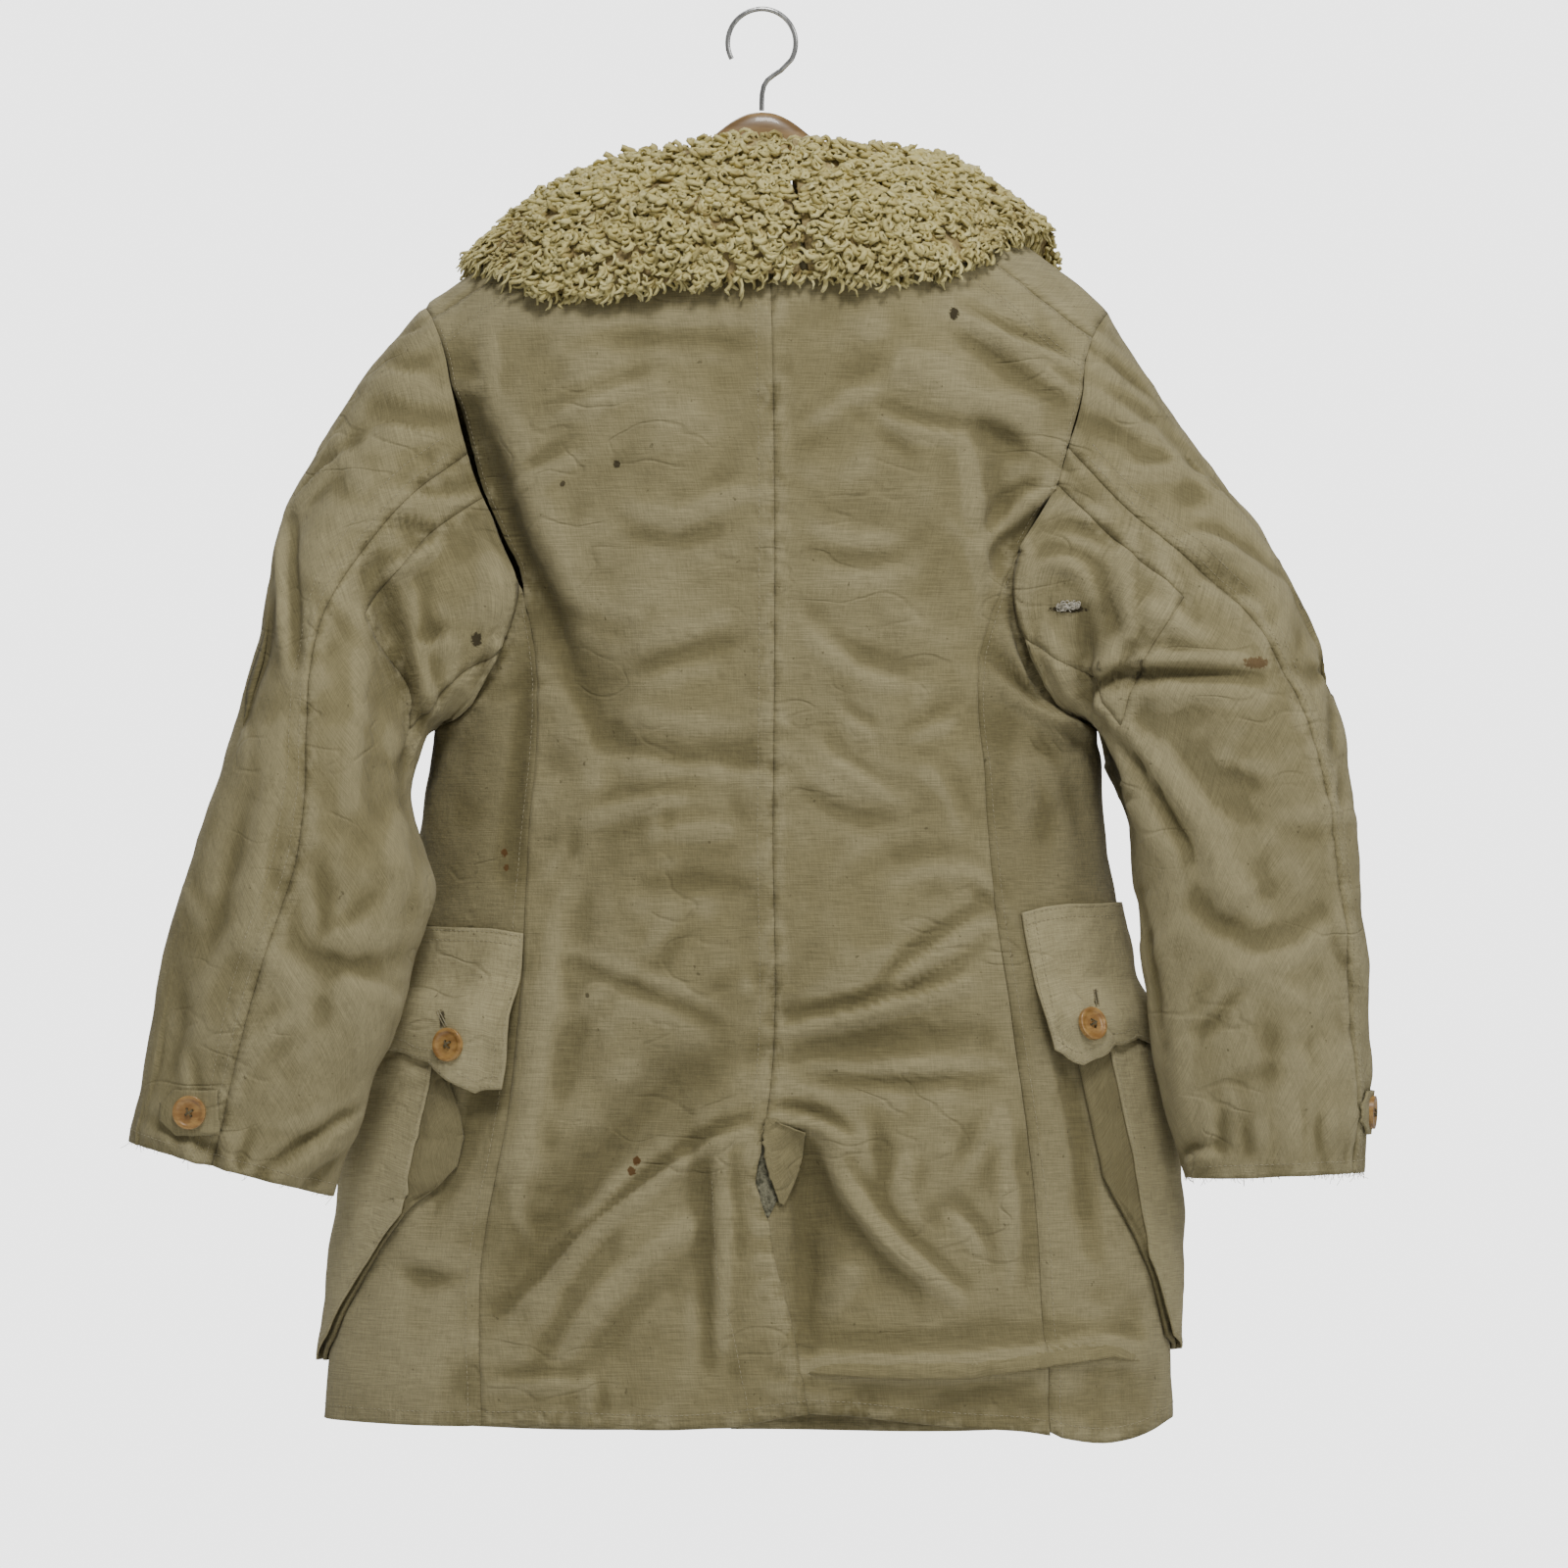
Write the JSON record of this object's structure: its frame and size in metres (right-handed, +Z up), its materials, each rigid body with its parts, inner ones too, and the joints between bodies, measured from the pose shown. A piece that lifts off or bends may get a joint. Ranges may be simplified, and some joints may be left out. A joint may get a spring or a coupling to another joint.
{
  "type": "shearling-collared canvas coat on a wooden hanger",
  "caption": "Hip-length canvas coat with a wide shearling collar, bellows pockets and a back vent, hanging on a contoured wooden hanger.",
  "frame": {"origin": "the inside top of the hanger's hook, where it rests on a rod", "axes": "+Z up; the coat's front faces +Y and its back -Y; +X is the wearer's right"},
  "size_m": [0.8651, 0.2437, 1.0026],
  "materials": {
    "canvas": "worn khaki linen-like canvas",
    "canvas_dark": "shaded khaki canvas",
    "shearling": "cream curled fleece",
    "lining": "grey fuzzy pile",
    "horn": "satin brown horn",
    "wood": "satin brown wood",
    "steel": "plain wire"
  },
  "bodies": {
    "root": {"back_left": "canvas", "back_right": "canvas", "button_cuff_left": "horn", "button_cuff_right": "horn", "button_front_1": "horn", "button_front_2": "horn", "button_front_3": "horn", "button_front_4": "horn", "button_front_5": "horn", "button_pocket_left": "horn", "button_pocket_right": "horn", "collar_left": "shearling", "collar_right": "shearling", "cuff_tab_left": "canvas", "cuff_tab_right": "canvas", "front_left": "canvas", "front_right": "canvas", "hanger_hook": "steel", "hanger_wood": "wood", "pocket_bellows_left": "canvas_dark", "pocket_bellows_right": "canvas_dark", "pocket_face_left": "canvas", "pocket_face_right": "canvas", "pocket_flap_left": "canvas", "pocket_flap_right": "canvas", "side_left": "canvas", "side_right": "canvas", "sleeve_under_left": "canvas", "sleeve_under_right": "canvas", "sleeve_upper_left": "canvas", "sleeve_upper_right": "canvas", "underarm_gusset_left": "canvas", "underarm_gusset_right": "canvas", "vent_lining": "lining", "vent_underlap": "canvas_dark"}
  },
  "joints": []
}
